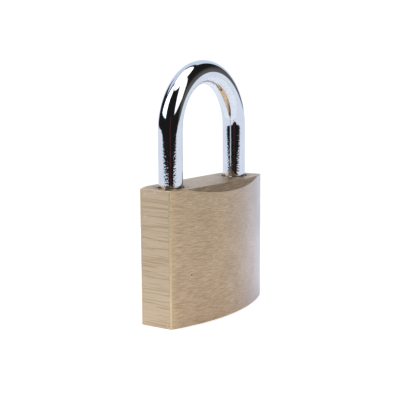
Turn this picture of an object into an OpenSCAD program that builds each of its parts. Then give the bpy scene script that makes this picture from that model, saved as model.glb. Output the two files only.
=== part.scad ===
// Solid-body padlock with a closed shackle, a pin-tumbler cylinder and two spring-loaded bolts.
// Origin: centre of the body's base. X runs across the body, from the heel leg (-X) to the
// toe leg (+X), Y through its thickness, Z up. The lock is closed and unlocked: the shackle is
// down, the plug is turned to its open position and both bolts are drawn in.

/* [Body] */
// Width of the body, across the two legs
body_w = 40; // [38:0.5:60]
// Thickness of the flat narrow sides
body_side_t = 8.4; // [7.6:0.1:14]
// Height of the bow of the front and the back face
face_bulge = 4.2; // [3.2:0.1:6]
// Height of the body
body_h = 32; // [31.5:0.5:48]
// Distance from a narrow side's corner line out to the start of the top bevel
bevel_land = 1.8; // [1:0.1:2.6]
// Fall of the top bevel at the middle of a face
bevel_drop = 1.6; // [0.8:0.1:2.4]
// Width of the broken corners
edge_break = 0.2; // [0.1:0.05:0.5]

/* [Shackle] */
// Diameter of the shackle wire
wire_d = 5.7; // [4.6:0.1:7]
// Distance between the axes of the two legs
leg_spacing = 27.5; // [22.5:0.5:31]
// Straight length of the legs above the body
leg_above = 12.5; // [6:0.5:60]
// Radial clearance of a leg in its hole
hole_clear = 0.35; // [0.25:0.05:0.5]
// Solid end of a leg below its notch or groove
leg_end = 1.4; // [1:0.1:2.5]
// Chamfer on the legs' lower ends
end_chamfer = 0.8; // [0.4:0.1:1.2]
// How far the toe stands clear above the body when the shackle is up
open_gap = 0.4; // [0.2:0.1:2]
// Depth of the flat that the retaining pin runs in
flat_depth = 0.9; // [0.5:0.1:1.2]
// Diameter of the shackle's retaining pin
keeper_d = 1.8; // [1.4:0.1:2.2]

/* [Bolts] */
// Depth of the bolts' axis below the top face
bolt_depth = 6.8; // [6.2:0.1:8]
// Diameter of the two bolts
bolt_d = 4.3; // [3.8:0.1:4.8]
// Radial running clearance of the bolts in their bore
bolt_fit = 0.05; // [0.03:0.01:0.1]
// Clearance of a bolt's tip in its notch
notch_clear = 0.15; // [0.1:0.05:0.3]
// Distance from the plug's axis to each driving post
post_r = 1.25; // [1.1:0.05:1.4]
// Diameter of the driving posts
post_d = 1.1; // [0.9:0.1:1.2]
// Distance from the plug's axis to a drawn-in bolt's shoulder
shoulder_x = 3.0; // [2.8:0.1:3.6]

/* [Cylinder] */
// Diameter of the plug
plug_d = 10; // [9:0.2:12.4]
// Radial running clearance of the plug
plug_fit = 0.05; // [0.03:0.01:0.1]
// How far the plug's face lies inside the base
plug_recess = 0.5; // [0.2:0.1:1.5]
// Height of the top of the plug
plug_top = 20.25; // [20:0.05:20.4]
// Width of the keyway's two halves
keyway_t = 1.2; // [1:0.1:1.5]
// Number of pin stacks
pin_count = 5; // [3:1:5]
// Height of the lowest pin stack
first_pin_z = 3.4; // [3:0.1:3.6]
// Distance from one pin stack to the next
pin_pitch = 2.9; // [2.8:0.05:2.95]
// Diameter of the pins
pin_d = 2.4; // [2:0.1:2.5]
// Radial running clearance of the pins in their chambers
pin_fit = 0.06; // [0.03:0.01:0.1]
// Length of the driver pins
driver_l = 4; // [3:0.1:5]
// Length of the chamber caps
cap_l = 2.2; // [1.5:0.1:3]
// Diameter of the plug's retaining pin
plug_pin_d = 1.7; // [1.4:0.1:1.8]

/* [Springs] */
// Outer diameter of the spring under the heel leg
heel_spring_d = 5.2; // [4:0.1:5.6]
// Wire of the spring under the heel leg
heel_spring_wire = 0.7; // [0.4:0.05:0.8]
// Height that the pressed-down spring under the heel leg takes
spring_room = 7.4; // [6.6:0.1:7.8]
// Wire of the spring between the bolts, and of the pin springs
fine_wire = 0.3; // [0.2:0.05:0.35]
// Outer diameter of the spring between the bolts
bolt_spring_d = 1.9; // [1.6:0.1:2]

/* [Hidden] */

$fn = 96;
brass = "#c2a578";
brass_bright = "#d0b27c";
steel = "#a9abae";
chrome = "#dfe3ea";
spring_steel = "#8f9196";

over = 1;                      // how far a cut runs past the face it opens
press_gap = 0.02;              // gap all round a pressed-in piece
face_gap = 0.05;               // gap between faces that run past each other
free_gap = 0.1;                // gap beside a piece that moves freely

mid_t = body_side_t + 2 * face_bulge;
face_r = (body_w * body_w / 4 + face_bulge * face_bulge) / (2 * face_bulge);
face_c = face_r - mid_t / 2;   // the bowed face's axis lies this far past the middle plane
corner_angle = asin(body_w / 2 / face_r);
bevel_slope = bevel_drop / (face_bulge - bevel_land);

wire_r = wire_d / 2;
leg_x = leg_spacing / 2;
hole_r = wire_r + hole_clear;
bolt_z = body_h - bolt_depth;
bolt_r = bolt_d / 2;
bolt_bore_r = bolt_r + bolt_fit;
bolt_travel = post_r * sqrt(2);
tip_in = leg_x - hole_r - free_gap;    // a drawn-in bolt's tip, just inside its bore
tip_out = tip_in + bolt_travel;
notch_r = bolt_r + notch_clear;
notch_x = tip_out - bolt_r;            // the axis of the notch, where the bolt's round tip sits
toe_end_z = bolt_z - notch_r - leg_end;
shackle_lift = body_h - toe_end_z + open_gap;
groove_z = bolt_z - shackle_lift;      // the groove meets the heel bolt when the shackle is up
heel_end_z = groove_z - notch_r - leg_end;
heel_floor = heel_end_z - spring_room;
toe_floor = toe_end_z - 5 * free_gap;
keeper_r = keeper_d / 2;
keeper_x = leg_x + wire_r - flat_depth + free_gap + keeper_r;

plug_r = plug_d / 2;
plug_bore_r = plug_r + plug_fit;
plug_bore_top = plug_top + face_gap;
cam_r = plug_r * 0.7;
cam_t = 1.6;
cam_bore_r = cam_r + free_gap;
cam_bore_top = plug_bore_top + cam_t + 2 * free_gap;
tongue_w = 1.9;
tongue_h = 0.75;
post_top = bolt_z - bolt_r / 3;
post_gap = 0.15;                       // gap each side of a post in its groove
post_window_r = post_r + post_d / 2 + 2 * free_gap;
post_groove_w = post_d + 2 * post_gap; // the groove in a bolt's tail that a post drives
post_x = bolt_travel / 2;              // a post's place along X with the bolts drawn in
tail_wall = 0.6;                       // thickness of a tail past its groove
tail_end = post_x + post_groove_w / 2 + tail_wall;

pin_r = pin_d / 2;
chamber_r = pin_r + pin_fit;
key_cut = [1.2, 0.5, 1.6, 0.8, 1.4];   // where each key pin's tip ends, out from the axis
key_pin_out = sqrt(plug_r * plug_r - pin_r * pin_r) - face_gap;
driver_in = plug_bore_r + face_gap;
cap_in = body_w / 2 - cap_l;
plug_pin_r = plug_pin_d / 2;
plug_pin_z = plug_top - 2.05;          // between the top pin stack and the cam's tongue
groove_depth = 1.1;
groove_floor_r = plug_r - groove_depth;
open_turn = 90;                        // the plug's chambers face +Y while the lock is open

function pin_z(i) = first_pin_z + i * pin_pitch;

// ---- shapes used more than once ----

// A cylinder along X from x0 to x1
module x_rod(r, x0, x1, z = 0, y = 0)
    translate([x0, y, z]) rotate([0, 90, 0]) cylinder(r = r, h = x1 - x0);

// A cylinder along Y from y0 to y1
module y_rod(r, y0, y1, x = 0, z = 0)
    translate([x, y1, z]) rotate([90, 0, 0]) cylinder(r = r, h = y1 - y0);

// Points of a coil's centre line: one closed turn at each end, open turns between
function coil_z(turn, turns, wire, length) =
    let (end_rise = wire * 1.06)
    turn < 1 ? wire / 2 + turn * end_rise
    : turn > turns - 1 ? length - wire / 2 - (turns - turn) * end_rise
    : wire / 2 + end_rise + (turn - 1) * (length - wire - 2 * end_rise) / (turns - 2);

// A compression spring standing on z = 0
module coil(outer_d, wire, turns, length, steps = 14, sides = 6) {
    mean_r = (outer_d - wire) / 2;
    rings = turns * steps;
    points = [
        for (k = [0 : rings], s = [0 : sides - 1])
            let (a = 360 * k / steps, b = 360 * s / sides, r = mean_r + wire / 2 * cos(b))
            [r * cos(a), r * sin(a), coil_z(k / steps, turns, wire, length) + wire / 2 * sin(b)]];
    skin = [
        for (k = [0 : rings - 1], s = [0 : sides - 1], half = [0, 1])
            let (n = (s + 1) % sides, here = k * sides, above = here + sides)
            half == 0 ? [here + s, here + n, above + n] : [here + s, above + n, above + s]];
    polyhedron(
        points,
        concat([[for (s = [sides - 1 : -1 : 0]) s]], skin,
               [[for (s = [0 : sides - 1]) rings * sides + s]]),
        convexity = 10);
}

// ---- the body ----

// Outline from above: narrow sides and broken corners, with room for the bowed faces
module plan_outline() {
    reach = (mid_t - body_side_t) / 2 + edge_break + over;
    run = edge_break * (1 + sin(corner_angle));
    slant = edge_break * cos(corner_angle) / run;
    side = body_w / 2;
    low = body_side_t / 2 - edge_break;
    polygon([
        [side, -low], [side, low],
        [side - slant * reach, low + reach], [-side + slant * reach, low + reach],
        [-side, low], [-side, -low],
        [-side + slant * reach, -low - reach], [side - slant * reach, -low - reach]]);
}

// One bowed face, with its lower edge broken
module bowed_face(side)
    translate([0, side * face_c, 0])
        rotate_extrude($fn = 360)
            polygon([
                [0, 0], [face_r - edge_break, 0], [face_r, edge_break],
                [face_r, body_h], [0, body_h]]);

// The body's outer shape, with both top bevels
module body_shape() {
    side = body_w / 2;
    land = body_side_t / 2 + bevel_land;
    past = mid_t / 2 + over;
    intersection() {
        bowed_face(1);
        bowed_face(-1);
        linear_extrude(body_h) plan_outline();
        translate([0, past, 0]) rotate([90, 0, 0]) linear_extrude(2 * past)
            polygon([
                [-side, edge_break], [-side + edge_break, 0], [side - edge_break, 0],
                [side, edge_break], [side, body_h - edge_break], [side - edge_break, body_h],
                [-side + edge_break, body_h], [-side, body_h - edge_break]]);
        translate([-side, 0, 0]) rotate([90, 0, 90]) linear_extrude(body_w)
            polygon([
                [-past, 0], [past, 0], [past, body_h - bevel_slope * (past - land)],
                [land, body_h], [-land, body_h], [-past, body_h - bevel_slope * (past - land)]]);
    }
}

// A leg's hole with its small lead-in
module leg_hole(x, floor_z) {
    lead = 0.2;
    translate([x, 0, floor_z]) cylinder(r = hole_r, h = body_h - floor_z + over);
    translate([x, 0, body_h - lead]) cylinder(r1 = hole_r, r2 = hole_r + lead + over, h = lead + over);
}

module body() {
    color(brass)
    difference() {
        body_shape();
        leg_hole(-leg_x, heel_floor);
        leg_hole(leg_x, toe_floor);
        translate([0, 0, -over]) cylinder(r = plug_bore_r, h = plug_bore_top + over);
        cylinder(r = cam_bore_r, h = cam_bore_top);
        cylinder(r = post_window_r, h = bolt_z);
        x_rod(bolt_bore_r, -leg_x, body_w / 2 + over, bolt_z);
        for (i = [0 : pin_count - 1])
            x_rod(chamber_r, 0, body_w / 2 + over, pin_z(i));
        x_rod(plug_pin_r + press_gap, 0, body_w / 2 + over, plug_pin_z);
        y_rod(keeper_r + press_gap, -hole_r, mid_t, -keeper_x, bolt_z);
    }
}

// ---- the shackle ----

// A leg standing on z0, with a chamfered end
module leg(x, z0)
    translate([x, 0, z0]) {
        cylinder(r1 = wire_r - end_chamfer, r2 = wire_r, h = end_chamfer);
        translate([0, 0, end_chamfer])
            cylinder(r = wire_r, h = body_h + leg_above - z0 - end_chamfer);
    }

module shackle() {
    bend_z = body_h + leg_above;
    color(chrome)
    difference() {
        union() {
            translate([0, 0, bend_z]) rotate([90, 0, 0])
                rotate_extrude(angle = 180, $fn = 144) translate([leg_x, 0]) circle(r = wire_r);
            leg(-leg_x, heel_end_z);
            leg(leg_x, toe_end_z);
        }
        // notches for the two bolts
        y_rod(notch_r, -wire_d, wire_d, -notch_x, bolt_z);
        y_rod(notch_r, -wire_d, wire_d, notch_x, bolt_z);
        // groove round the heel leg, which the heel bolt and the retaining pin meet when it is up
        translate([-leg_x, 0, groove_z])
            rotate_extrude() translate([leg_x - notch_x, 0]) circle(r = notch_r);
        // flat for the retaining pin, from the groove up past the pin
        translate([-leg_x - wire_r - over, -wire_d, groove_z])
            cube([flat_depth + over, 2 * wire_d, bolt_z - groove_z + keeper_r + 3 * free_gap]);
    }
}

// ---- the bolts and what moves them ----

// A bolt drawn in, pointing along +X: round tip, shoulder, and a grooved tail beside the axis
module bolt() {
    union() {
        x_rod(bolt_r, shoulder_x, tip_in - bolt_r);
        translate([tip_in - bolt_r, 0, 0]) sphere(r = bolt_r);
        difference() {
            intersection() {
                x_rod(bolt_r, -tail_end, shoulder_x);
                translate([-tail_end, free_gap, -bolt_d])
                    cube([tail_end + shoulder_x, bolt_d, bolt_d - free_gap]);
            }
            translate([-post_x - post_groove_w / 2, -over, -bolt_d])
                cube([post_groove_w, bolt_d + over, bolt_d + post_top - bolt_z + post_gap]);
        }
    }
}

module toe_bolt() { color(steel) translate([0, 0, bolt_z]) bolt(); }

module heel_bolt() { color(steel) translate([0, 0, bolt_z]) rotate([0, 0, 180]) bolt(); }

module bolt_spring() {
    color(spring_steel)
    translate([-shoulder_x, 0, bolt_z + bolt_spring_d / 2 + face_gap]) rotate([0, 90, 0])
        coil(bolt_spring_d, fine_wire, 9, 2 * shoulder_x);
}

// The cam on top of the plug: a disc with a tongue below and a driving post for each bolt
module cam() {
    color(steel)
    union() {
        translate([0, 0, plug_top]) cylinder(r = cam_r, h = cam_t);
        rotate([0, 0, open_turn]) translate([-cam_r + 0.5, -tongue_w / 2, plug_top - tongue_h])
            cube([2 * cam_r - 1, tongue_w, tongue_h + cam_t / 2]);
        for (side = [1, -1])
            translate([-side * post_x, side * post_x, plug_top + cam_t / 2])
                cylinder(r = post_d / 2, h = post_top - plug_top - cam_t / 2);
    }
}

module heel_spring() {
    color(spring_steel)
    translate([-leg_x, 0, heel_floor])
        coil(heel_spring_d, heel_spring_wire, 7, heel_end_z - heel_floor, 16, 8);
}

// ---- the cylinder ----

// Keyway in the plug's own axes: two offset halves along X, seen from below
module keyway_outline() {
    step = keyway_t * 0.45;
    polygon([
        [-plug_r * 0.76, -step], [-plug_r * 0.30, -step], [-plug_r * 0.22, -keyway_t / 2 + step],
        [plug_r * 0.16, -keyway_t / 2 + step], [plug_r * 0.24, -step], [plug_r * 0.58, -step],
        [plug_r * 0.58, keyway_t - step], [plug_r * 0.36, keyway_t - step],
        [plug_r * 0.28, keyway_t / 2 + step], [-plug_r * 0.10, keyway_t / 2 + step],
        [-plug_r * 0.18, keyway_t - step], [-plug_r * 0.76, keyway_t - step]]);
}

module plug() {
    face_chamfer = 0.25;
    lead = 0.45;
    lead_r = plug_r * 0.52;
    keyway_end = pin_z(pin_count - 1) + pin_r + 4 * free_gap;
    color(brass_bright)
    rotate([0, 0, open_turn])
    difference() {
        union() {
            translate([0, 0, plug_recess])
                cylinder(r1 = plug_r - face_chamfer, r2 = plug_r, h = face_chamfer);
            translate([0, 0, plug_recess + face_chamfer])
                cylinder(r = plug_r, h = plug_top - plug_recess - face_chamfer);
        }
        translate([0, 0, plug_recess - over])
            linear_extrude(keyway_end - plug_recess + over) keyway_outline();
        // the key's lead-in
        translate([0, 0, plug_recess - over])
            cylinder(r1 = lead_r + over, r2 = lead_r - lead, h = over + lead);
        for (i = [0 : pin_count - 1])
            x_rod(chamber_r, 0, plug_d, pin_z(i));
        // groove for the retaining pin
        translate([0, 0, plug_pin_z]) rotate_extrude()
            translate([groove_floor_r, -plug_pin_r - free_gap])
                square([plug_d, plug_pin_d + 2 * free_gap]);
        // slot for the cam's tongue
        translate([-plug_r - over, -tongue_w / 2 - face_gap, plug_top - tongue_h - face_gap])
            cube([plug_d + 2 * over, tongue_w + 2 * face_gap, tongue_h + over]);
    }
}

// A key pin lies in the plug, its coned tip in the keyway and its flat end at the plug's skin
module key_pin(i) {
    tip = 0.8;
    color(brass_bright)
    rotate([0, 0, open_turn])
    translate([key_cut[i], 0, pin_z(i)]) rotate([0, 90, 0]) {
        cylinder(r1 = pin_r - tip, r2 = pin_r, h = tip);
        translate([0, 0, tip]) cylinder(r = pin_r, h = key_pin_out - key_cut[i] - tip);
    }
}

// A driver pin stands outside the plug, with both rims broken
module driver_pin(i) {
    rim = 0.15;
    color(brass_bright)
    translate([driver_in, 0, pin_z(i)]) rotate([0, 90, 0]) {
        cylinder(r1 = pin_r - rim, r2 = pin_r, h = rim);
        translate([0, 0, rim]) cylinder(r = pin_r, h = driver_l - 2 * rim);
        translate([0, 0, driver_l - rim]) cylinder(r1 = pin_r, r2 = pin_r - rim, h = rim);
    }
}

module pin_spring(i) {
    color(spring_steel)
    translate([driver_in + driver_l, 0, pin_z(i)]) rotate([0, 90, 0])
        coil(pin_d - 0.3, fine_wire, 8, cap_in - driver_in - driver_l, 12);
}

// A pressed-in round cap, flush with the narrow side
module side_cap(r, x0, z, rim = 0.12) {
    x_rod(r, x0, body_w / 2 - rim, z);
    translate([body_w / 2 - rim, 0, z]) rotate([0, 90, 0]) cylinder(r1 = r, r2 = r - rim, h = rim);
}

module chamber_cap(i) { color(brass) side_cap(chamber_r - press_gap, cap_in, pin_z(i)); }

module bolt_bore_plug() {
    color(brass) side_cap(bolt_bore_r - press_gap, leg_x + hole_r + free_gap, bolt_z);
}

module plug_retaining_pin() {
    color(steel) side_cap(plug_pin_r, groove_floor_r + free_gap, plug_pin_z);
}

// The shackle's retaining pin goes in from the back, flush with the bowed face
module shackle_retaining_pin() {
    color(brass)
    intersection() {
        y_rod(keeper_r, -hole_r + face_gap, mid_t, -keeper_x, bolt_z);
        translate([0, -face_c, 0]) cylinder(r = face_r, h = body_h, $fn = 360);
    }
}

// ---- what is drawn ----

body();
shackle();
plug();
cam();
toe_bolt();
heel_bolt();
bolt_spring();
heel_spring();
shackle_retaining_pin();
plug_retaining_pin();
bolt_bore_plug();
for (i = [0 : pin_count - 1]) {
    key_pin(i);
    driver_pin(i);
    pin_spring(i);
    chamber_cap(i);
}
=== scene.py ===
import math

import bmesh
import bpy
import numpy as np
from mathutils import Matrix, Vector


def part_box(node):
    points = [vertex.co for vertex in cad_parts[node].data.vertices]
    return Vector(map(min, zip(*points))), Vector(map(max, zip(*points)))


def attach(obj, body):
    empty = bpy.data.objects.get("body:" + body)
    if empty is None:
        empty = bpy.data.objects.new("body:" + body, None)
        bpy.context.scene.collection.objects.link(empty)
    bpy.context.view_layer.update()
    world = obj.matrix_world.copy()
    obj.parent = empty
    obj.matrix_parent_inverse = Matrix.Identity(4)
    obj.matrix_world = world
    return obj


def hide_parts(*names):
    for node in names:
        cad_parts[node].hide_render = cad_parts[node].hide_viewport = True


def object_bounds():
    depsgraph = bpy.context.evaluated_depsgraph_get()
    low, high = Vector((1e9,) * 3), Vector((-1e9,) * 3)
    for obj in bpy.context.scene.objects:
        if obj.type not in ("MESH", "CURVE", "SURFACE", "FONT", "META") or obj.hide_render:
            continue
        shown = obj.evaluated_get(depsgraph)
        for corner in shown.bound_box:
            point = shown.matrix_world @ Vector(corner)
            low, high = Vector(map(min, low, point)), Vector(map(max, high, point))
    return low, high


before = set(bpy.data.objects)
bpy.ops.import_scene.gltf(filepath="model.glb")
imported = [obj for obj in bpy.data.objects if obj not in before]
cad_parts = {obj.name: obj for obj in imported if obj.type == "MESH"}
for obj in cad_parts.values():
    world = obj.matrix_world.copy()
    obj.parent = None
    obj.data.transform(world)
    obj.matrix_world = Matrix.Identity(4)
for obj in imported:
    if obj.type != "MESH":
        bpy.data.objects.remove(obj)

# ---------------------------------------------------------------------------------------------
# Sizes. Shapes are worked out in millimetres and become metres when a mesh is made.
# ---------------------------------------------------------------------------------------------

MM = 0.001


def box_mm(node):
    """A CAD node's lowest corner, highest corner and size, in millimetres."""
    low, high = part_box(node)
    low = np.array(low) / MM
    high = np.array(high) / MM
    return low, high, high - low


cad_low, cad_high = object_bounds()
body_high, body_size = box_mm("body")[1:]
shackle_low, shackle_high, shackle_size = box_mm("shackle")
plug_high, plug_size = box_mm("plug")[1:]
cam_size = box_mm("cam")[2]
toe_low, toe_high, toe_size = box_mm("toe_bolt")
keeper_low, keeper_high, keeper_size = box_mm("shackle_retaining_pin")
heel_spring_low = box_mm("heel_spring")[0]

# The body's outline from above: flat narrow sides, and a bow on the front and the back.
half_w = body_size[0] / 2
half_t = body_size[1] / 2
body_top = body_high[2]
side_half_t = 4.2
bow_rise = half_t - side_half_t
bow_r = (half_w ** 2 + bow_rise ** 2) / (2 * bow_rise)
bow_c = bow_r - half_t
corner_r = 0.25
edge_r = 0.16

# The bevel along the top of each bowed face: how far outside the flat sides' edges it starts,
# and how far it drops by the middle of the bow.
bevel_out = 1.8
bevel_start = side_half_t + bevel_out
bevel_drop = 1.6
bevel_slope = bevel_drop / (half_t - bevel_start)
bevel_soft = 0.22

# The shackle: a round wire bent to a half circle over two straight legs, each with a notch for
# its bolt and leg_end of wire below the notch.
wire_r = shackle_size[1] / 2
leg_x = shackle_size[0] / 2 - wire_r
bend_z = shackle_high[2] - wire_r - leg_x
heel_end = shackle_low[2]
bolt_z = (toe_low[2] + toe_high[2]) / 2
bolt_r = max(toe_size[1], toe_size[2]) / 2
notch_gap = 0.15
notch_r = bolt_r + notch_gap
leg_end = 1.4
toe_end = bolt_z - notch_r - leg_end
groove_z = heel_end + leg_end + notch_r
leg_gap = 0.35
hole_r = wire_r + leg_gap

# A bolt is driven by a post on the cam, and comes out as the cam makes its quarter turn.
post_orbit = 1.25
post_r = 0.55
bolt_travel = post_orbit * math.sqrt(2)
notch_out = leg_x - (toe_high[0] + bolt_travel - bolt_r)

# The retaining pin that keeps the heel leg in, and the flat on the leg that slides past it.
keeper_r = keeper_size[0] / 2
keeper_x = (keeper_low[0] + keeper_high[0]) / 2
keeper_z = (keeper_low[2] + keeper_high[2]) / 2
flat_depth = 0.9
flat_r = wire_r - flat_depth
flat_over = 0.3
flat_top = keeper_z + keeper_r + flat_over
end_chamfer = 0.8

PRESS_GAP = 0.02
RUN_GAP = 0.05
CAM_GAP = 0.1

# Neighbouring faces that meet at a wider angle than this stay crisp.
SHARP_ANGLE = math.radians(38)

# Points that agree to this many parts of a millimetre are one point.
MERGE_SCALE = 10000

# ---------------------------------------------------------------------------------------------
# Meshes from grids
# ---------------------------------------------------------------------------------------------


def soft_min(a, b, width):
    """The smaller of a and b, rounded off where they are closer than width:
    min(a, b) less a quarter of width times the square of how far they are into that zone."""
    near = np.maximum(width - np.abs(a - b), 0) / width
    return np.minimum(a, b) - near * near * width / 4


def spread(start, stop, step):
    """Evenly spaced values from start to stop, both included, no further apart than step."""
    return np.linspace(start, stop, max(2, int(math.ceil(abs(stop - start) / step)) + 1))


def grid_faces(rows, columns, wrap):
    """Four corners of every cell of a grid of points; wrap joins the last column to the first."""
    index = np.arange(rows * columns).reshape(rows, columns)
    right = np.roll(index, -1, axis=1)
    here = index if wrap else index[:, :-1]
    beside = right if wrap else right[:, :-1]
    return np.stack([here[:-1], beside[:-1], beside[1:], here[1:]], axis=-1).reshape(-1, 4)


def make_piece(name, grids):
    """One closed mesh object from several grids of points in millimetres. Each grid is (points,
    wrap). Points that meet are merged, cells that close up become triangles, and the faces are
    turned outwards."""
    points, faces, start = [], [], 0
    for grid, wrap in grids:
        rows, columns = grid.shape[:2]
        points.append(grid.reshape(-1, 3))
        faces.append(grid_faces(rows, columns, wrap) + start)
        start += rows * columns
    points = np.concatenate(points)
    faces = np.concatenate(faces)
    keys = np.round(points * MERGE_SCALE).astype(np.int64)
    first, back = np.unique(keys, axis=0, return_index=True, return_inverse=True)[1:]
    faces = back.reshape(-1)[faces]
    rings = [list(dict.fromkeys(face)) for face in faces.tolist()]
    mesh = bpy.data.meshes.new(name)
    mesh.from_pydata((points[first] * MM).tolist(), [], [ring for ring in rings if len(ring) > 2])
    mesh.update()
    turn_outwards(mesh)
    mesh.shade_smooth()
    mesh.set_sharp_from_angle(angle=SHARP_ANGLE)
    piece = bpy.data.objects.new(name, mesh)
    bpy.context.scene.collection.objects.link(piece)
    return piece


def turn_outwards(mesh):
    """Every face of a closed mesh turned so that its normal points out of the solid."""
    shape = bmesh.new()
    shape.from_mesh(mesh)
    bmesh.ops.recalc_face_normals(shape, faces=shape.faces)
    shape.to_mesh(mesh)
    shape.free()


def revolved(profile, centre, axis, segments):
    """A profile of (radius, height) points turned round an axis through centre:
    P = centre + height * axis + radius * (cos a * u + sin a * v), where u and v are square to
    the axis."""
    axis = np.array(axis, float)
    u = np.array([0.0, 0.0, 1.0]) if axis[2] == 0 else np.array([1.0, 0.0, 0.0])
    v = np.cross(axis, u)
    profile = np.array(profile, float)
    angle = np.linspace(0, 2 * math.pi, segments, endpoint=False)
    ring = np.cos(angle)[:, None] * u + np.sin(angle)[:, None] * v
    points = profile[:, 0, None, None] * ring + profile[:, 1, None, None] * axis
    return points + np.array(centre, float)


def bored(piece, cutters):
    """Piece with every cutter taken out of it, as one finished mesh."""
    group = bpy.data.collections.new("cutters")
    bpy.context.scene.collection.children.link(group)
    for cutter in cutters:
        bpy.context.scene.collection.objects.unlink(cutter)
        group.objects.link(cutter)
    cut = piece.modifiers.new("bores", "BOOLEAN")
    cut.operation = "DIFFERENCE"
    cut.solver = "EXACT"
    cut.operand_type = "COLLECTION"
    cut.collection = group
    bpy.context.view_layer.update()
    graph = bpy.context.evaluated_depsgraph_get()
    finished = bpy.data.meshes.new_from_object(piece.evaluated_get(graph))
    piece.modifiers.clear()
    piece.data = finished
    finished.shade_smooth()
    finished.set_sharp_from_angle(angle=SHARP_ANGLE)
    for cutter in cutters:
        bpy.data.objects.remove(cutter)
    bpy.data.collections.remove(group)
    return piece


# ---------------------------------------------------------------------------------------------
# The body
# ---------------------------------------------------------------------------------------------


def bow_outline():
    """Half of the body's outline, from the +X side over the +Y bow to the -X side, as points
    and outward normals. A corner is an arc of corner_r that touches the flat side and the bow;
    the bow is an arc of bow_r round the point bow_c beyond the middle plane."""
    corner_steps = 9
    seam = 0.03
    bow_step = 0.45
    corner_x = half_w - corner_r
    corner_y = -bow_c + math.sqrt((bow_r - corner_r) ** 2 - corner_x ** 2)
    lean = math.asin(corner_x / (bow_r - corner_r))
    turn = np.linspace(0, math.pi / 2 - lean, corner_steps)
    corner_n = np.stack([np.cos(turn), np.sin(turn)], axis=1)
    corner_p = np.array([corner_x, corner_y]) + corner_r * corner_n
    beside = seam / bow_r
    inner = spread(lean - 2 * beside, -lean + 2 * beside, bow_step / bow_r)
    bow_angle = np.concatenate([[lean - beside], inner, [-lean + beside]])
    bow_n = np.stack([np.sin(bow_angle), np.cos(bow_angle)], axis=1)
    bow_p = np.array([0, -bow_c]) + bow_r * bow_n
    mirror = np.array([-1, 1])
    points = np.concatenate([corner_p, bow_p, (corner_p * mirror)[::-1]])
    normals = np.concatenate([corner_n, bow_n, (corner_n * mirror)[::-1]])
    return points, normals, corner_y


def flat_steps():
    """Places across a flat narrow side as shares of its half width, closer at both ends."""
    end_steps = [0.993, 1]
    inner = np.linspace(-0.98, 0.98, 25)
    return np.concatenate([[-share for share in end_steps[::-1]], inner, end_steps])


def body_rows():
    """Heights up the body's skin and how far each one is set in: a quarter round of edge_r at
    the base, long rows up the sides, close rows over the bevel, and a quarter round on top."""
    edge_steps = 7
    seam = 0.03
    long_row = 0.9
    close_row = 0.035
    below_bevel = 0.25
    turn = np.linspace(0, math.pi / 2, edge_steps)
    low_z = edge_r * (1 - np.sin(turn[::-1]))
    low_in = edge_r * (1 - np.cos(turn[::-1]))
    bevel_z = body_top - bevel_drop - below_bevel
    middle = np.concatenate([[edge_r + seam], spread(edge_r + 2 * seam, bevel_z, long_row)])
    close = spread(bevel_z, body_top - edge_r, close_row)[1:-1]
    high_z = body_top - edge_r * (1 - np.sin(turn))
    high_in = edge_r * (1 - np.cos(turn))
    z = np.concatenate([low_z, middle, close, high_z])
    inset = np.concatenate([low_in, np.zeros(len(middle) + len(close)), high_in])
    return z, inset


def under_bevel(y, z, inset):
    """A distance from the middle plane, kept under the plane of the top bevel."""
    limit = bevel_start + (body_top - z) / bevel_slope - inset
    return np.sign(y) * soft_min(np.abs(y), limit, bevel_soft)


def body_skin():
    """The outside of the body: the outline, set in by each row's inset along its normals and
    kept under the bevel, carried up the rows, with a cap above and below. A cap's point is
    (x of the bow, share * y of the bow), so its ends match the flat sides."""
    bow, bow_n, flat_y = bow_outline()
    share = flat_steps()
    flat = np.stack([np.full(len(share), half_w), share * flat_y], axis=1)
    flat_n = np.tile([1.0, 0.0], (len(share), 1))
    outline = np.concatenate([flat[:-1], bow[:-1], -flat[:-1], -bow[:-1]])
    normals = np.concatenate([flat_n[:-1], bow_n[:-1], -flat_n[:-1], -bow_n[:-1]])
    z, inset = body_rows()
    plan = outline[None] - inset[:, None, None] * normals[None]
    y = under_bevel(plan[..., 1], z[:, None], inset[:, None])
    height = np.broadcast_to(z[:, None], y.shape)
    skin = np.stack([plan[..., 0], y, height], axis=-1)
    grids = [(skin, True)]
    for row in (0, len(z) - 1):
        edge = bow - inset[row] * bow_n
        edge_y = under_bevel(edge[:, 1], z[row], inset[row])
        across = share[:, None] * edge_y[None]
        along = np.broadcast_to(edge[:, 0], across.shape)
        cap = np.stack([along, across, np.full(across.shape, z[row])], axis=-1)
        grids.append((cap, False))
    return grids


def turned_cutter(name, profile, centre, axis, segments):
    """A turned solid that takes its own shape out of the body."""
    return make_piece(name, [(revolved(profile, centre, axis, segments), True)])


def leg_hole(name, x, floor_z):
    """Cutter for a leg's hole: straight, with a small quarter-round lip."""
    lip = 0.32
    lip_steps = 5
    turn = np.linspace(0, math.pi / 2, lip_steps)
    lip_r = hole_r + lip * (1 - np.cos(turn))
    lip_z = body_top - lip + lip * np.sin(turn)
    profile = [(0, floor_z), (hole_r, floor_z), *zip(lip_r, lip_z),
               (hole_r + 2 * lip, body_top + lip), (0, body_top + lip)]
    return turned_cutter(name, profile, (x, 0, 0), (0, 0, 1), 96)


def side_bore(name, radius, start_x, z):
    """Cutter for a bore along X that opens on the +X side, with a small broken edge."""
    lip = 0.05
    profile = [(0, start_x), (radius, start_x), (radius, half_w - lip),
               (radius + 2 * lip, half_w + lip), (0, half_w + lip)]
    return turned_cutter(name, profile, (0, 0, z), (1, 0, 0), 72)


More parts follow.
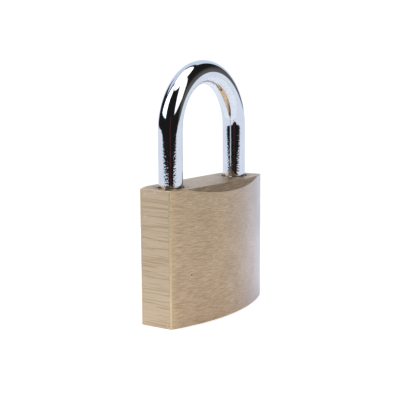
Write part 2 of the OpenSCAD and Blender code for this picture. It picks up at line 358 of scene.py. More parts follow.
def cylinder_bore():
    """Cutter for the cylinder's stepped bore: the plug's bore with a small broken edge, a wider
    space for the cam, and a window up to the bolts for the cam's posts."""
    lip = 0.08
    below = 1.0
    cam_room = 1.8
    window_gap = 0.2
    plug_r = plug_size[0] / 2 + RUN_GAP
    cam_r = cam_size[0] / 2 + CAM_GAP
    window_r = post_orbit + post_r + window_gap
    plug_top = plug_high[2] + RUN_GAP
    cam_top = plug_top + cam_room
    profile = [(0, -below), (plug_r + below + lip, -below), (plug_r, lip), (plug_r, plug_top),
               (cam_r, plug_top), (cam_r, cam_top), (window_r, cam_top), (window_r, bolt_z),
               (0, bolt_z)]
    return turned_cutter("cylinder_bore", profile, (0, 0, 0), (0, 0, 1), 128)


def keeper_bore():
    """Cutter for the shackle retaining pin's bore, from the heel leg's hole out to the back."""
    radius = keeper_r + PRESS_GAP
    profile = [(0, -hole_r), (radius, -hole_r), (radius, half_t), (0, half_t)]
    return turned_cutter("keeper_bore", profile, (keeper_x, 0, keeper_z), (0, 1, 0), 48)


def press_fit_bore(name, piece, start_x):
    """Cutter for the side bore that a CAD piece is pressed into."""
    low, high, size = box_mm(piece)
    return side_bore(name, size[2] / 2 + PRESS_GAP, start_x, (low[2] + high[2]) / 2)


def body_cutters():
    """The cylinder's bore, the two leg holes, the bolts' bore, and the pins' bores. The bores
    that end in the cylinder's bore start close to its axis."""
    below_toe = 0.5
    chamber_start = 0.1
    plug_pin_start = 0.15
    chambers = 5
    cutters = [
        cylinder_bore(),
        leg_hole("heel_hole", -leg_x, heel_spring_low[2]),
        leg_hole("toe_hole", leg_x, toe_end - below_toe),
        side_bore("bolt_bore", bolt_r + RUN_GAP, -leg_x, bolt_z)]
    for stack in range(1, chambers + 1):
        cutters.append(press_fit_bore(f"chamber_{stack}", f"chamber_cap_{stack}", chamber_start))
    cutters.append(press_fit_bore("plug_pin_bore", "plug_retaining_pin", plug_pin_start))
    cutters.append(keeper_bore())
    return cutters


def make_body():
    """The solid brass body with all its bores."""
    return bored(make_piece("lock_body", body_skin()), body_cutters())


# ---------------------------------------------------------------------------------------------
# The shackle
# ---------------------------------------------------------------------------------------------


def shackle_path():
    """Stations along the wire from the heel's end to the toe's end, as centres (x, z), the
    in-plane direction that points to the inside of the bow, and each leg's sign (-1 heel,
    1 toe, 0 on the bend)."""
    close_step = 0.07
    plain_step = 0.8
    past_cuts = 0.6
    bend_steps = 181
    heel_cuts_top = flat_top + past_cuts
    toe_cuts_top = bolt_z + notch_r + past_cuts
    heel = np.concatenate([spread(heel_end, heel_cuts_top, close_step),
                           spread(heel_cuts_top, bend_z, plain_step)[1:-1]])
    toe = np.concatenate([spread(toe_end, toe_cuts_top, close_step),
                          spread(toe_cuts_top, bend_z, plain_step)[1:-1]])[::-1]
    angle = np.linspace(math.pi, 0, bend_steps)
    x = np.concatenate([np.full(len(heel), -leg_x), leg_x * np.cos(angle),
                        np.full(len(toe), leg_x)])
    z = np.concatenate([heel, bend_z + leg_x * np.sin(angle), toe])
    inward_x = np.concatenate([np.ones(len(heel)), -np.cos(angle), -np.ones(len(toe))])
    inward_z = np.concatenate([np.zeros(len(heel)), -np.sin(angle), np.zeros(len(toe))])
    leg = np.concatenate([-np.ones(len(heel)), np.zeros(len(angle)), np.ones(len(toe))])
    return x, z, inward_x, inward_z, leg


def shackle_radius(z, leg, angle):
    """The wire's radius at each station and angle, where angle 0 points to the inside of the
    bow. It is the least of: the wire itself; the bolt's notch, (notch_out - root of (notch_r
    squared - dz squared)) / cos; on the heel the same depth all round at the groove, and the
    retaining pin's flat, flat_r / -cos; and the chamfer on each end."""
    z = z[:, None]
    leg = leg[:, None]
    least_cos = 0.001
    far = 10 * wire_r
    soft = 0.12
    inside = np.maximum(np.cos(angle), least_cos)[None]
    outside = np.maximum(-np.cos(angle), least_cos)[None]
    radius = np.full((len(z), len(angle)), wire_r)

    def bite(centre_z):
        """How far from the axis the notch's round wall lies at each station."""
        reach = notch_r ** 2 - (z - centre_z) ** 2
        return np.where(reach > 0, notch_out - np.sqrt(np.maximum(reach, 0)), far)

    notch = np.where(leg != 0, bite(bolt_z) / inside, far)
    groove = np.where(leg < 0, bite(groove_z), far)
    on_flat = (leg < 0) & (z > groove_z) & (z < flat_top)
    flat = np.where(on_flat, flat_r / outside, far)
    end_z = np.where(leg < 0, heel_end, toe_end)
    chamfer = np.where(leg != 0, wire_r - end_chamfer + (z - end_z), far)
    for limit in (notch, groove, flat, chamfer):
        radius = soft_min(radius, limit, soft)
    return radius


def make_shackle():
    """The wire's skin: P = centre + r * (cos a * inward + sin a * Y), closed at both ends by
    rings that shrink to a point on the axis."""
    around = 96
    x, z, inward_x, inward_z, leg = shackle_path()
    angle = np.linspace(0, 2 * math.pi, around, endpoint=False)
    radius = shackle_radius(z, leg, angle)
    shrink = np.array([0.0, 0.5, 0.9, 0.98])
    heel_cap = shrink[:, None] * radius[0][None]
    toe_cap = (shrink[:, None] * radius[-1][None])[::-1]
    radius = np.concatenate([heel_cap, radius, toe_cap])

    def padded(values):
        """A station's values repeated for the rings of both caps."""
        return np.concatenate([np.full(len(shrink), values[0]), values,
                               np.full(len(shrink), values[-1])])

    x, z, inward_x, inward_z = (padded(values) for values in (x, z, inward_x, inward_z))
    in_plane = radius * np.cos(angle)
    skin = np.stack([x[:, None] + in_plane * inward_x[:, None],
                     radius * np.sin(angle),
                     z[:, None] + in_plane * inward_z[:, None]], axis=-1)
    return make_piece("shackle_bow", [(skin, True)])


# ---------------------------------------------------------------------------------------------
# Shader building
# ---------------------------------------------------------------------------------------------


def add(tree, kind, **settings):
    """A new node with its settings."""
    node = tree.nodes.new(kind)
    for name, value in settings.items():
        setattr(node, name, value)
    return node


def feed(tree, value, socket):
    """A link into a socket, or a plain value on it."""
    if isinstance(value, bpy.types.NodeSocket):
        tree.links.new(value, socket)
    else:
        socket.default_value = value


def calc(tree, operation, *values):
    """The result of a Math node."""
    node = add(tree, "ShaderNodeMath", operation=operation)
    for number, value in enumerate(values):
        feed(tree, value, node.inputs[number])
    return node.outputs[0]


def times(tree, first, *others):
    """The product of values."""
    for value in others:
        first = calc(tree, "MULTIPLY", first, value)
    return first


def away_from(tree, mask):
    """Everywhere that a mask is not."""
    return calc(tree, "SUBTRACT", 1.0, mask)


def vector_calc(tree, operation, *values):
    """The result of a Vector Math node: a number for a distance, otherwise a vector."""
    node = add(tree, "ShaderNodeVectorMath", operation=operation)
    for number, value in enumerate(values):
        feed(tree, value, node.inputs[number])
    return node.outputs["Value" if operation == "DISTANCE" else "Vector"]


def parts_of(tree, vector):
    """The three parts of a vector."""
    node = add(tree, "ShaderNodeSeparateXYZ")
    feed(tree, vector, node.inputs[0])
    return node.outputs


def remap(tree, value, low, high, to_low=0.0, to_high=1.0, smooth=True):
    """A value taken from low...high to to_low...to_high and kept inside, eased at both ends
    unless smooth is off."""
    kind = "SMOOTHSTEP" if smooth else "LINEAR"
    node = add(tree, "ShaderNodeMapRange", interpolation_type=kind, clamp=True)
    for socket, number in zip(node.inputs, (value, low, high, to_low, to_high)):
        feed(tree, number, socket)
    return node.outputs[0]


def fade(tree, distance, none, full):
    """0 at one distance and 1 at the other, both in millimetres."""
    return remap(tree, distance, none * MM, full * MM)


def noise(tree, vector, scale, detail=2.0, roughness=0.5):
    """A noise texture's outputs: a value and a colour."""
    node = add(tree, "ShaderNodeTexNoise", noise_dimensions="3D")
    feed(tree, vector, node.inputs["Vector"])
    feed(tree, scale, node.inputs["Scale"])
    feed(tree, detail, node.inputs["Detail"])
    feed(tree, roughness, node.inputs["Roughness"])
    return node.outputs


def mix_colour(tree, share, first, second):
    """Two colours mixed by share."""
    node = add(tree, "ShaderNodeMix", data_type="RGBA")
    feed(tree, share, node.inputs["Factor"])
    feed(tree, first, node.inputs[6])
    feed(tree, second, node.inputs[7])
    return node.outputs[2]


def mix_values(tree, share, first, second):
    """Two plain values mixed by share."""
    node = add(tree, "ShaderNodeMix", data_type="FLOAT")
    feed(tree, share, node.inputs[0])
    feed(tree, first, node.inputs[2])
    feed(tree, second, node.inputs[3])
    return node.outputs[0]


def layered(tree, tone, layers):
    """A colour with layers over it, each (mask, most that it covers, its own colour)."""
    for mask, most, colour in layers:
        tone = mix_colour(tree, calc(tree, "MULTIPLY", mask, most), tone, colour)
    return tone


def rgba(red, green, blue):
    """A colour that covers fully."""
    return (red, green, blue, 1.0)


def new_group(name, inputs, outputs):
    """An empty shader node group with its sockets, and its input and output nodes."""
    group = bpy.data.node_groups.new(name, "ShaderNodeTree")
    for label, kind, value in inputs:
        socket = group.interface.new_socket(label, in_out="INPUT", socket_type=kind)
        socket.default_value = value
    for label, kind in outputs:
        group.interface.new_socket(label, in_out="OUTPUT", socket_type=kind)
    return group, add(group, "NodeGroupInput").outputs, add(group, "NodeGroupOutput").inputs


def place(tree, group, **values):
    """A group in a tree with its inputs set; an underscore in a name stands for a space."""
    node = add(tree, "ShaderNodeGroup", node_tree=group)
    for name, value in values.items():
        feed(tree, value, node.inputs[name.replace("_", " ")])
    return node.outputs


def object_coordinates(tree):
    """Object coordinates, in metres."""
    return add(tree, "ShaderNodeTexCoord").outputs["Object"]


FLOAT = "NodeSocketFloat"
VECTOR = "NodeSocketVector"


def grain_group():
    """Grain: noise stretched by a different amount along each axis, in two sizes."""
    group, given, out = new_group(
        "grain",
        [("Vector", VECTOR, (0, 0, 0)), ("Stretch", VECTOR, (1, 1, 1)), ("Detail", FLOAT, 4.0)],
        [("Fine", FLOAT), ("Broad", FLOAT)])
    stretched = vector_calc(group, "MULTIPLY", given["Vector"], given["Stretch"])
    for label, scale in (("Fine", 1.0), ("Broad", 0.27)):
        marks = noise(group, stretched, scale, given["Detail"], 0.6)
        feed(group, marks[0], out[label])
    return group


def speck_group():
    """Specks: small round marks of uneven size, one in some of the cells of a Voronoi net."""
    least_size = 0.3
    group, given, out = new_group(
        "specks",
        [("Vector", VECTOR, (0, 0, 0)), ("Scale", FLOAT, 500.0), ("Share", FLOAT, 0.1),
         ("Size", FLOAT, 0.2)],
        [("Mask", FLOAT)])
    cells = add(group, "ShaderNodeTexVoronoi", feature="F1")
    feed(group, given["Vector"], cells.inputs["Vector"])
    feed(group, given["Scale"], cells.inputs["Scale"])
    parts = add(group, "ShaderNodeSeparateColor")
    feed(group, cells.outputs["Color"], parts.inputs[0])
    chosen = calc(group, "LESS_THAN", parts.outputs[0], given["Share"])
    radius = times(group, given["Size"], calc(group, "ADD", parts.outputs[1], least_size))
    inner = times(group, radius, 0.5)
    spot = remap(group, cells.outputs["Distance"], radius, inner)
    feed(group, times(group, spot, chosen), out["Mask"])
    return group


def edge_group():
    """Edge polish: how far a point lies on an outward edge, broken up by noise."""
    group, given, out = new_group(
        "edge_polish", [("Vector", VECTOR, (0, 0, 0)), ("Break up", FLOAT, 0.4)],
        [("Mask", FLOAT)])
    point = add(group, "ShaderNodeNewGeometry").outputs["Pointiness"]
    wear_and_glint = times(group, noise(group, given["Vector"], 900.0)[0], given["Break up"])
    edge = remap(group, point, 0.515, 0.56)
    feed(group, times(group, edge, away_from(group, wear_and_glint)), out["Mask"])
    return group


def smudge_group():
    """Smudges: slow uneven patches, as handling leaves them."""
    group, given, out = new_group(
        "smudges", [("Vector", VECTOR, (0, 0, 0)), ("Scale", FLOAT, 120.0)], [("Mask", FLOAT)])
    patches = noise(group, given["Vector"], given["Scale"], 3.0)
    feed(group, remap(group, patches[0], 0.35, 0.68), out["Mask"])
    return group


GRAIN = grain_group()
SPECKS = speck_group()
EDGE = edge_group()
SMUDGES = smudge_group()


def new_metal(name):
    """A material of its own with a fully metallic shader."""
    material = bpy.data.materials.new(name)
    material.use_nodes = True
    tree = material.node_tree
    shader = tree.nodes["Principled BSDF"]
    shader.inputs["Metallic"].default_value = 1.0
    return material, tree, shader


def bump(tree, shader, height, strength, distance):
    """A height in the shader's normal; distance is in metres."""
    node = add(tree, "ShaderNodeBump")
    feed(tree, strength, node.inputs["Strength"])
    feed(tree, distance, node.inputs["Distance"])
    feed(tree, height, node.inputs["Height"])
    feed(tree, node.outputs[0], shader.inputs["Normal"])


# ---------------------------------------------------------------------------------------------
# Materials
# ---------------------------------------------------------------------------------------------


def corner_masks(tree, at):
    """Masks worked out from the body's own sizes, in this order: the line of polish along each
    upright corner and, more faintly, round the base, painted brighter as a highlight; the
    painted shade line beside each corner on the narrow sides; the painted gold highlight
    band beside each corner on the bows."""
    corner_inset = 0.05
    line_inset = 0.30
    base_share = 0.35
    x, y, z = parts_of(tree, at)
    deep = calc(tree, "ABSOLUTE", y)
    from_side = calc(tree, "SUBTRACT", half_w * MM, calc(tree, "ABSOLUTE", x))
    from_corner = calc(tree, "SUBTRACT", deep, (side_half_t - corner_inset) * MM)
    from_line = calc(tree, "SUBTRACT", (side_half_t - line_inset) * MM, deep)
    from_edge = calc(tree, "ADD", calc(tree, "POWER", from_side, 2),
                     calc(tree, "POWER", from_corner, 2))
    from_edge = calc(tree, "SQRT", from_edge)
    # Corners and base: smoother polish, and a painted highlight along the edge.
    base = times(tree, fade(tree, z, 0.26, 0.12), base_share)
    polish_and_highlight = calc(tree, "MAXIMUM", fade(tree, from_edge, 0.42, 0.20), base)
    on_side = fade(tree, from_side, 0.05, 0.02)
    # A painted shade line beside each corner on the narrow sides.
    beside = times(tree, fade(tree, calc(tree, "ABSOLUTE", from_line), 0.24, 0.10), on_side)
    # A painted gold highlight band beside each corner on the bows.
    golden_highlight = calc(tree, "SUBTRACT", fade(tree, from_edge, 2.4, 0.3), on_side)
    return polish_and_highlight, beside, calc(tree, "MAXIMUM", golden_highlight, 0.0)


def leg_hole_masks(tree, at):
    """Masks round both leg holes: painted shade inside the hole, on its lip and, fading out,
    around it; and painted gold glints in a few places on the lip."""
    reflected_shade_share = 0.42
    x, y, z = parts_of(tree, at)
    off_leg = calc(tree, "SUBTRACT", calc(tree, "ABSOLUTE", x), leg_x * MM)
    from_axis = calc(tree, "ADD", calc(tree, "POWER", off_leg, 2),
                     calc(tree, "POWER", calc(tree, "ABSOLUTE", y), 2))
    from_wall = calc(tree, "SUBTRACT", calc(tree, "SQRT", from_axis), hole_r * MM)
    # Painted shade: darker inside each hole, on its lip and, more faintly, around it.
    in_hole = times(tree, fade(tree, from_wall, 0.10, 0.03), fade(tree, z, 1.5, 3.0))
    high = fade(tree, z, body_top - 2.0, body_top - 1.0)
    lip = times(tree, fade(tree, from_wall, 0.55, 0.28), high)
    # Painted highlight: a few gold glints on the lip.
    patches = remap(tree, noise(tree, at, 420.0)[0], 0.60, 0.64)
    wear_and_glint = times(tree, lip, patches, fade(tree, from_wall, 0.02, 0.08))
    around = times(tree, fade(tree, from_wall, 2.0, 0.3), high, reflected_shade_share)
    painted_hole_shade = calc(tree, "MAXIMUM", in_hole, calc(tree, "MAXIMUM", lip, around))
    return times(tree, painted_hole_shade, away_from(tree, wear_and_glint)), wear_and_glint


# A small pit in the lower half of the front bow, on the heel's side.
PIT = (-14.5 * MM, -6.24 * MM, 12.12 * MM)


def body_brass():
    """Brushed brass: long level strokes on the narrow sides, shorter and finer ones on the
    bows, and strokes along X on the top, with glints, dings, one pit, smudges, corners with
    polish and a painted highlight along them and a painted shade line beside them, a
    painted cool reflection towards one end of the bows, and painted shade with a few painted
    glints in and round the leg holes. The roughness is greater across the strokes than
    along them."""
    material, tree, shader = new_metal("brushed_brass")
    at = object_coordinates(tree)
    facing = parts_of(tree, add(tree, "ShaderNodeTexCoord").outputs["Normal"])
    on_side = remap(tree, calc(tree, "ABSOLUTE", facing[0]), 0.75, 0.95)
    on_top = remap(tree, calc(tree, "ABSOLUTE", facing[2]), 0.4, 0.7)
    on_bevel = times(tree, remap(tree, calc(tree, "ABSOLUTE", facing[1]), 0.3, 0.5), on_top)

    waver = noise(tree, at, 260.0, 1.0)["Color"]
    waver_height = (0.0, 0.0, 0.4 * MM)
    wavy = vector_calc(tree, "ADD", at, vector_calc(tree, "MULTIPLY", waver, waver_height))
    side = place(tree, GRAIN, Vector=wavy, Stretch=(80, 80, 3700), Detail=3.0)
    bow = place(tree, GRAIN, Vector=at, Stretch=(500, 500, 7200), Detail=3.0)
    top = place(tree, GRAIN, Vector=at, Stretch=(380, 2900, 900), Detail=4.0)
    fine, broad = (
        mix_values(tree, on_top, mix_values(tree, on_side, bow[size], side[size]), top[size])
        for size in ("Fine", "Broad"))

    smudge = place(tree, SMUDGES, Vector=at, Scale=160.0)["Mask"]
    dings = place(tree, SPECKS, Vector=at, Scale=260.0, Share=0.03, Size=0.10)["Mask"]
    pit = fade(tree, vector_calc(tree, "DISTANCE", at, PIT), 0.30, 0.16)
    dings = calc(tree, "MAXIMUM", dings, pit)
    glints = place(tree, SPECKS, Vector=wavy, Scale=1700.0, Share=0.12, Size=0.40)["Mask"]
    cluster = place(tree, SMUDGES, Vector=at, Scale=230.0)["Mask"]
    glints = times(tree, glints, remap(tree, cluster, 0.55, 0.95))
    strokes = times(tree, on_side, remap(tree, side["Fine"], 0.47, 0.60))
    # A painted cool, pale reflection on the bows, stronger towards the +X end.
    cool_reflection_start = -6
    cool_reflection_end = half_w + 1
    cool_reflection = remap(tree, parts_of(tree, at)[0], cool_reflection_start * MM, cool_reflection_end * MM, smooth=False)
    cool_reflection = times(tree, calc(tree, "POWER", cool_reflection, 1.4), 0.82)
    cool_reflection = times(tree, cool_reflection, away_from(tree, on_side), away_from(tree, on_top))
    polish_and_highlight, beside, golden_highlight = corner_masks(tree, at)
    painted_hole_shade, wear_and_glint = leg_hole_masks(tree, at)

    deep_stroke = rgba(0.59, 0.415, 0.245)
    pale_stroke = rgba(0.84, 0.64, 0.44)
    tone = mix_colour(tree, remap(tree, fine, 0.38, 0.62), deep_stroke, pale_stroke)
    tone = layered(tree, tone, [
        (remap(tree, broad, 0.45, 0.65), 0.18, rgba(0.50, 0.345, 0.19)),
        (smudge, 0.10, rgba(0.53, 0.375, 0.24)),
        (on_side, 0.50, rgba(0.95, 0.775, 0.56)),
        (strokes, 0.68, rgba(0.52, 0.345, 0.175)),
        # painted cool reflection towards the +X end
        (cool_reflection, 1.0, rgba(0.74, 0.725, 0.84)),
        (glints, 0.60, rgba(0.93, 0.86, 0.78)),
        (dings, 0.85, rgba(0.14, 0.10, 0.07)),
        # painted highlight along and beside the corners
        (golden_highlight, 0.35, rgba(0.88, 0.65, 0.39)),
        (polish_and_highlight, 0.80, rgba(0.97, 0.73, 0.40)),
        # painted shade line beside the corners
        (beside, 0.33, rgba(0.42, 0.34, 0.30)),
        # painted shade in and round the leg holes
        (painted_hole_shade, 0.92, rgba(0.06, 0.045, 0.025)),
        # painted gold glints on the leg holes' lips
        (wear_and_glint, 0.90, rgba(0.97, 0.76, 0.36))])
    feed(tree, tone, shader.inputs["Base Color"])

    rough = remap(tree, fine, 0.3, 0.7, 0.34, 0.46, smooth=False)
    for mask, rougher in ((smudge, 0.05), (on_bevel, 0.20), (polish_and_highlight, -0.14)):
        rough = calc(tree, "ADD", rough, times(tree, mask, rougher))
    feed(tree, rough, shader.inputs["Roughness"])
    shader.inputs["Anisotropic"].default_value = 0.7
    across_strokes = add(tree, "ShaderNodeCombineXYZ")
    across_strokes.inputs[1].default_value = 0.08
    across_strokes.inputs[2].default_value = 1.0
    feed(tree, across_strokes.outputs[0], shader.inputs["Tangent"])

    height = calc(tree, "ADD", fine, times(tree, broad, 0.25))
    height = calc(tree, "SUBTRACT", height, times(tree, dings, 0.9))
    height = times(tree, height, away_from(tree, polish_and_highlight),
                   remap(tree, on_side, 0.0, 1.0, 1.0, 0.35))
    bump(tree, shader, height, 0.9, 0.016 * MM)
    return material


def shackle_chrome():
    """Bright chrome plate: nearly a mirror, with a few dull specks and a very fine pebble that
    fades away towards the bend."""
    material, tree, shader = new_metal("bright_chrome")
    at = object_coordinates(tree)
    smudge = place(tree, SMUDGES, Vector=at, Scale=210.0)["Mask"]
    specks = place(tree, SPECKS, Vector=at, Scale=1500.0, Share=0.16, Size=0.22)["Mask"]
    pebble = place(tree, GRAIN, Vector=at, Stretch=(3300, 3300, 2600), Detail=0.0)["Fine"]
    tone = layered(tree, rgba(0.80, 0.82, 0.85), [
        (smudge, 1.0, rgba(0.76, 0.78, 0.82)),
        (specks, 0.5, rgba(0.55, 0.57, 0.62))])
    feed(tree, tone, shader.inputs["Base Color"])
    rough = calc(tree, "ADD", 0.035, times(tree, smudge, 0.03))
    rough = calc(tree, "ADD", rough, times(tree, specks, 0.12))
    feed(tree, rough, shader.inputs["Roughness"])
    up = parts_of(tree, at)[2]
    above_body = body_top + 4
    past_bend = bend_z + 2
    low_down = remap(tree, up, past_bend * MM, above_body * MM, 0.15, 1.0)
    height = calc(tree, "SUBTRACT", pebble, times(tree, specks, 0.4))
    bump(tree, shader, times(tree, height, low_down), 1.0, 0.0105 * MM)
    return material


def turned_metal(name, dark, light, stretch, roughness, relief):
    """A turned or drawn metal: tool marks one way, specks, smudges and brighter edges."""
    material, tree, shader = new_metal(name)
    at = object_coordinates(tree)
    marks = place(tree, GRAIN, Vector=at, Stretch=stretch, Detail=4.0)
    smudge = place(tree, SMUDGES, Vector=at, Scale=300.0)["Mask"]
    specks = place(tree, SPECKS, Vector=at, Scale=1300.0, Share=0.1, Size=0.25)["Mask"]
    edge = place(tree, EDGE, Vector=at, Break_up=0.3)["Mask"]
    tone = mix_colour(tree, remap(tree, marks["Fine"], 0.3, 0.7), dark, light)
    tone = layered(tree, tone, [
        (specks, 0.5, rgba(0.16, 0.13, 0.10)),
        (edge, 0.4, light)])
    feed(tree, tone, shader.inputs["Base Color"])
    rough = remap(tree, marks["Broad"], 0.3, 0.7, roughness - 0.06, roughness + 0.08)
    rough = calc(tree, "ADD", rough, times(tree, smudge, 0.08))
    feed(tree, rough, shader.inputs["Roughness"])
    bump(tree, shader, marks["Fine"], 0.5, relief)
    return material


# ---------------------------------------------------------------------------------------------
# Pieces
# ---------------------------------------------------------------------------------------------

STEEL_PIECES = ("toe_bolt", "heel_bolt", "cam", "shackle_retaining_pin", "plug_retaining_pin")


def paint(piece, material):
    """A material in every slot of a piece."""
    if not piece.material_slots:
        piece.data.materials.append(material)
    for each in piece.material_slots:
        each.material = material


brass = body_brass()
chrome = shackle_chrome()
plug_brass = turned_metal("turned_brass", rgba(0.50, 0.36, 0.18), rgba(0.78, 0.62, 0.38),
                          (2600, 2600, 2600), 0.28, 0.010 * MM)
cap_brass = turned_metal("pin_brass", rgba(0.52, 0.38, 0.22), rgba(0.76, 0.60, 0.38),
                         (500, 3800, 3800), 0.30, 0.010 * MM)
bolt_steel = turned_metal("turned_steel", rgba(0.34, 0.34, 0.35), rgba(0.60, 0.60, 0.61),
                          (4200, 300, 300), 0.32, 0.010 * MM)
spring_wire = turned_metal("spring_wire", rgba(0.26, 0.26, 0.28), rgba(0.52, 0.52, 0.55),
                           (900, 900, 4800), 0.35, 0.006 * MM)

body = make_body()
paint(body, brass)
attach(body, "case")
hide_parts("body")

shackle = make_shackle()
paint(shackle, chrome)
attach(shackle, "bow")
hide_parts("shackle")

for name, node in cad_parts.items():
    if name in ("body", "shackle"):
        continue
    if "spring" in name:
        paint(node, spring_wire)
    elif name in STEEL_PIECES:
        paint(node, bolt_steel)
    elif name == "plug":
        paint(node, plug_brass)
    elif name.startswith("chamber_cap") or name == "bolt_bore_plug":
        paint(node, cap_brass)
    else:
        paint(node, cap_brass)

# ---------------------------------------------------------------------------------------------
# Floor, light and camera
# ---------------------------------------------------------------------------------------------


def floor_material():
    """A pale matt surface with a faint glow, stronger as the camera sees it than as a light on
    the lock, and clear from below."""
    glow_as_light = 0.27
    glow_as_seen = 0.64
    material = bpy.data.materials.new("pale_floor")
    material.use_nodes = True
    tree = material.node_tree
    shader = tree.nodes["Principled BSDF"]
    shader.inputs["Base Color"].default_value = rgba(0.82, 0.86, 0.90)
    shader.inputs["Roughness"].default_value = 0.9
    shader.inputs["Specular IOR Level"].default_value = 0.0
    shader.inputs["Emission Color"].default_value = rgba(0.90, 0.95, 1.04)
    seen = add(tree, "ShaderNodeLightPath").outputs["Is Camera Ray"]
    glow = remap(tree, seen, 0.0, 1.0, glow_as_light, glow_as_seen)
    feed(tree, glow, shader.inputs["Emission Strength"])
    either = add(tree, "ShaderNodeMixShader")
    feed(tree, add(tree, "ShaderNodeNewGeometry").outputs["Backfacing"], either.inputs[0])
    feed(tree, shader.outputs[0], either.inputs[1])
    feed(tree, add(tree, "ShaderNodeBsdfTransparent").outputs[0], either.inputs[2])
    feed(tree, either.outputs[0], tree.nodes["Material Output"].inputs[0])
    return material


def make_floor():
    """A plain round table top just under what the object stands on: rings of points
    (r cos a, r sin a) from the middle out to its edge."""
    below = 0.02 * MM
    around = 128
    angle = np.linspace(0, 2 * math.pi, around, endpoint=False)
    radius = np.array([0.01, 0.04, 0.08, 0.12])
    x = radius[:, None] * np.cos(angle)
    y = radius[:, None] * np.sin(angle)
    points = np.stack([x, y, np.full(x.shape, cad_low.z - below)], axis=-1).reshape(-1, 3)
    faces = [face[::-1] for face in grid_faces(len(radius), around, True).tolist()]
    middle = list(range(around))
    mesh = bpy.data.meshes.new("floor")
    mesh.from_pydata(points.tolist(), [], faces + [middle])
    mesh.materials.append(floor_material())
    floor = bpy.data.objects.new("floor", mesh)
    bpy.context.scene.collection.objects.link(floor)


# The camera looks from the -X, -Y corner, a little above the body.
CAMERA_TURN = math.radians(55.85)
CAMERA_RISE = math.radians(8.216)
CAMERA_ROLL = math.radians(-0.362)
CAMERA_DISTANCE = 0.22428
CAMERA_TARGET = Vector((-0.001741, 0.0, 0.027468))
CAMERA_LENS = 83.14


def make_camera():
    """A camera on the line from the target that turn and rise give, rolled about that line."""
    flat = math.cos(CAMERA_RISE)
    back = Vector((-math.sin(CAMERA_TURN) * flat, -math.cos(CAMERA_TURN) * flat,
                   math.sin(CAMERA_RISE)))
    level = (-back).cross(Vector((0, 0, 1))).normalized()
    upright = level.cross(-back)
    right = math.cos(CAMERA_ROLL) * level + math.sin(CAMERA_ROLL) * upright
    up = math.cos(CAMERA_ROLL) * upright - math.sin(CAMERA_ROLL) * level
    data = bpy.data.cameras.new("camera")
    data.sensor_width = 36.0
    data.lens = CAMERA_LENS
    data.clip_start = 0.01
    data.clip_end = 20.0
    camera = bpy.data.objects.new("camera", data)
    turn = Matrix((right, up, back)).transposed().to_4x4()
    camera.matrix_world = Matrix.Translation(CAMERA_TARGET + CAMERA_DISTANCE * back) @ turn
    bpy.context.scene.collection.objects.link(camera)
    bpy.context.scene.camera = camera


# The studio, as seen from the lock: each panel is (turn to the right of the camera, height,
# half width, half height, softness, brightness, tint), angles in degrees. Later ones lie over
# earlier ones, and the red strip over all.
NEUTRAL = (1.0, 1.0, 1.0)
WARM = (1.05, 0.98, 0.95)
COOL = (0.87, 0.93, 1.04)
BLUE = (0.80, 0.90, 1.08)
ALL_ROUND = 200
PANELS = [
    (125, 4, 34, 5, 22, 0.11, WARM),
    (52, 41, 20, 22, 3, 1.50, NEUTRAL),
    (-73, 40, 22, 20, 3, 2.20, COOL),
    (180, 28, 34, 26, 3, 0.85, BLUE),
    (-137, 49, 26, 12, 3, 0.80, BLUE),
    (0, 90, ALL_ROUND, 25, 3, 1.85, WARM),
    (0, -90, ALL_ROUND, 89, 2, 0.92, COOL)]
RED_STRIP = (1, 0, 1.3, 18, 1.0, 0.16, (1.0, 0.16, 0.17))
# The dark gap past the table's edge behind the camera: ovals of directions, each (turn,
# height, half width, half height).
GAPS = [(-8, 1, 84, 9.0), (5, -2, 26, 12)]
ROOM_DARK = 0.012
WHITE_SEEN = 1.05


def panel_group():
    """Panel: 1 inside a box of directions, fading to 0 over its softness."""
    group, given, out = new_group(
        "panel",
        [("Turn", FLOAT, 0.0), ("Height", FLOAT, 0.0), ("At turn", FLOAT, 0.0),
         ("At height", FLOAT, 0.0), ("Half width", FLOAT, 10.0), ("Half height", FLOAT, 10.0),
         ("Softness", FLOAT, 5.0)],
        [("Mask", FLOAT)])
    apart = calc(group, "SUBTRACT", given["Turn"], given["At turn"])
    apart = calc(group, "ABSOLUTE", calc(group, "WRAP", apart, 180.0, -180.0))
    above = calc(group, "ABSOLUTE", calc(group, "SUBTRACT", given["Height"], given["At height"]))
    masks = []
    for distance, half in ((apart, given["Half width"]), (above, given["Half height"])):
        outer = calc(group, "ADD", half, given["Softness"])
        masks.append(remap(group, distance, outer, half))
    feed(group, calc(group, "MULTIPLY", *masks), out["Mask"])
    return group


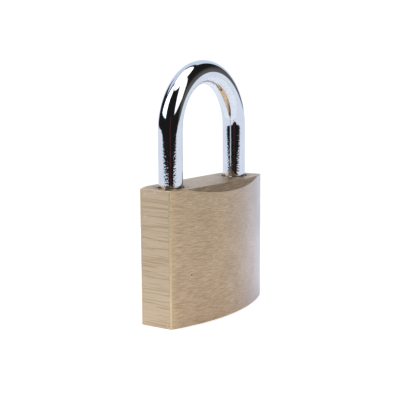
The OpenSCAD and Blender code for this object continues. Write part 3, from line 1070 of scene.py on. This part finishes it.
def studio_colour(tree):
    """The studio's colour in every direction: a dark room, the panels, the gaps over them, and
    the red strip over all."""
    x, y, z = parts_of(tree, add(tree, "ShaderNodeTexCoord").outputs["Generated"])
    towards_camera = -(math.pi / 2 + CAMERA_TURN)
    turn = calc(tree, "SUBTRACT", calc(tree, "ARCTAN2", y, x), towards_camera)
    turn = calc(tree, "WRAP", calc(tree, "DEGREES", turn), 180.0, -180.0)
    height = calc(tree, "DEGREES", calc(tree, "ARCSINE", z))
    panel = panel_group()
    dark = rgba(ROOM_DARK, ROOM_DARK, ROOM_DARK)

    def lay_over(colour, at_turn, at_height, half_width, half_height, softness, bright, tint):
        """One panel laid over the colours so far."""
        mask = place(tree, panel, Turn=turn, Height=height, At_turn=at_turn, At_height=at_height,
                     Half_width=half_width, Half_height=half_height, Softness=softness)["Mask"]
        return mix_colour(tree, mask, colour, rgba(*(bright * part for part in tint)))

    colour = dark
    for settings in PANELS:
        colour = lay_over(colour, *settings)
    for at_turn, at_height, half_width, half_height in GAPS:
        across = calc(tree, "DIVIDE", calc(tree, "SUBTRACT", turn, at_turn), half_width)
        upward = calc(tree, "DIVIDE", calc(tree, "SUBTRACT", height, at_height), half_height)
        away = calc(tree, "ADD", calc(tree, "POWER", across, 2), calc(tree, "POWER", upward, 2))
        colour = mix_colour(tree, remap(tree, away, 1.1, 0.9), colour, dark)
    return lay_over(colour, *RED_STRIP)


def make_world():
    """Plain white for the camera, and the studio for light and reflections."""
    world = bpy.data.worlds.new("studio")
    bpy.context.scene.world = world
    world.use_nodes = True
    tree = world.node_tree
    tree.nodes.clear()
    seen = add(tree, "ShaderNodeBackground")
    feed(tree, rgba(1.0, 1.0, 1.0), seen.inputs[0])
    feed(tree, WHITE_SEEN, seen.inputs[1])
    lit = add(tree, "ShaderNodeBackground")
    feed(tree, studio_colour(tree), lit.inputs[0])
    either = add(tree, "ShaderNodeMixShader")
    feed(tree, add(tree, "ShaderNodeLightPath").outputs["Is Camera Ray"], either.inputs[0])
    feed(tree, lit.outputs[0], either.inputs[1])
    feed(tree, seen.outputs[0], either.inputs[2])
    feed(tree, either.outputs[0], add(tree, "ShaderNodeOutputWorld").inputs[0])


make_floor()
make_camera()
make_world()
bpy.context.scene.view_settings.view_transform = "Standard"
